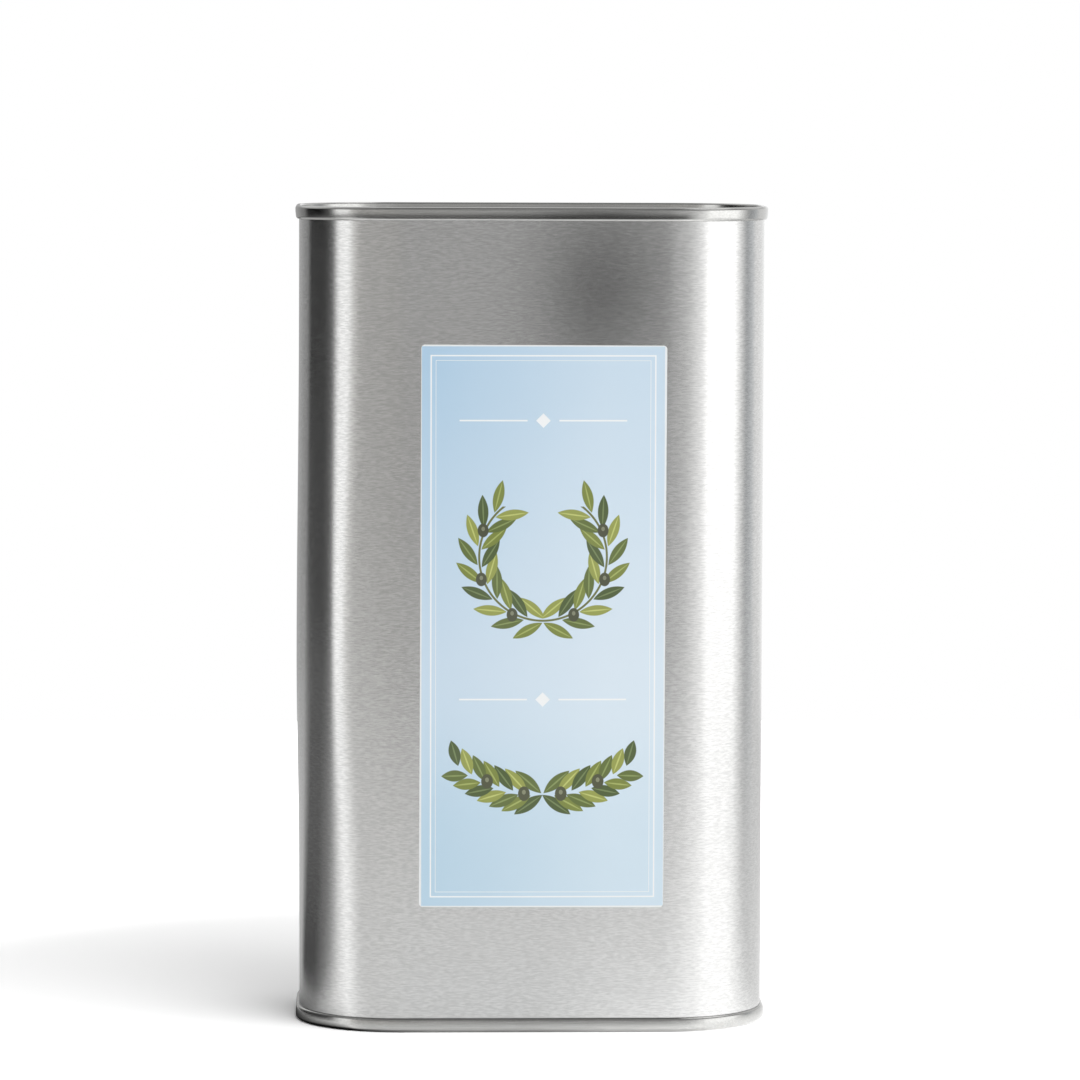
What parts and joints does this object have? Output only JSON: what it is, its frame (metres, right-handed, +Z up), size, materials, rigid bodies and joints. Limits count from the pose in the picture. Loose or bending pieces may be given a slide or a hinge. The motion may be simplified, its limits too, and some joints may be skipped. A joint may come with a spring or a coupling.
{
  "type": "olive oil tin",
  "caption": "Upright rounded rectangular tinplate oil tin with double-seamed ends, a paper label on the front and a pull-out pouring spout under a screw cap sunk in its recessed top.",
  "frame": {"origin": "centre of the footprint, on the surface that the tin stands on", "axes": "+Z up, the label faces -Y, +X along the wide side towards the spout"},
  "size_m": [0.1088, 0.0638, 0.188],
  "materials": {
    "body_tinplate": "bright tinplate with a horizontal brushed grain",
    "end_tinplate": "bright tinplate with a faint brushed grain",
    "seam_compound": "dull sealing compound",
    "label_paper": "smooth printed paper",
    "spout_plastic": "moulded, satin",
    "cap_plastic": "moulded, satin",
    "seal_rubber": "dull",
    "liner_foam": "dull foamed sheet"
  },
  "bodies": {
    "tin": {"body_shell": "body_tinplate", "top_end": "end_tinplate", "bottom_end": "end_tinplate", "top_seam_compound": "seam_compound", "bottom_seam_compound": "seam_compound", "front_label": "label_paper", "spout_well": "spout_plastic", "well_gasket": "seal_rubber", "crimp_ring": "end_tinplate", "wiper_ring": "seal_rubber"},
    "spout": {"spout_tube": "spout_plastic", "stop_ring": "spout_plastic"},
    "liner": {"cap_liner": "liner_foam"},
    "cap": {"screw_cap": "cap_plastic"},
    "front_pull": {"front_bail": "cap_plastic"},
    "rear_pull": {"rear_bail": "cap_plastic"}
  },
  "joints": [
    {"name": "spout_pull", "type": "slide", "parent": "tin", "child": "spout", "axis": [0, 0, 1], "range_m": [0, 0.016]},
    {"name": "cap_lift", "type": "slide", "parent": "spout", "child": "liner", "axis": [0, 0, 1], "range_m": [0, 0.009]},
    {"name": "cap_turn", "type": "hinge", "parent": "liner", "child": "cap", "pos_m": [0.028, 0, 0.18], "axis": [0, 0, 1], "range_deg": [0, 1080]},
    {"name": "front_bail_flip", "type": "hinge", "parent": "cap", "child": "front_pull", "pos_m": [0.028, -0.00095, 0.18605], "axis": [-1, 0, 0], "range_deg": [0, 90]},
    {"name": "rear_bail_flip", "type": "hinge", "parent": "cap", "child": "rear_pull", "pos_m": [0.028, 0.00095, 0.18605], "axis": [1, 0, 0], "range_deg": [0, 90]}
  ],
  "couplings": [
    {"joint": "cap_lift", "follows": "cap_turn", "m_per_rad": 0.00047746}
  ]
}
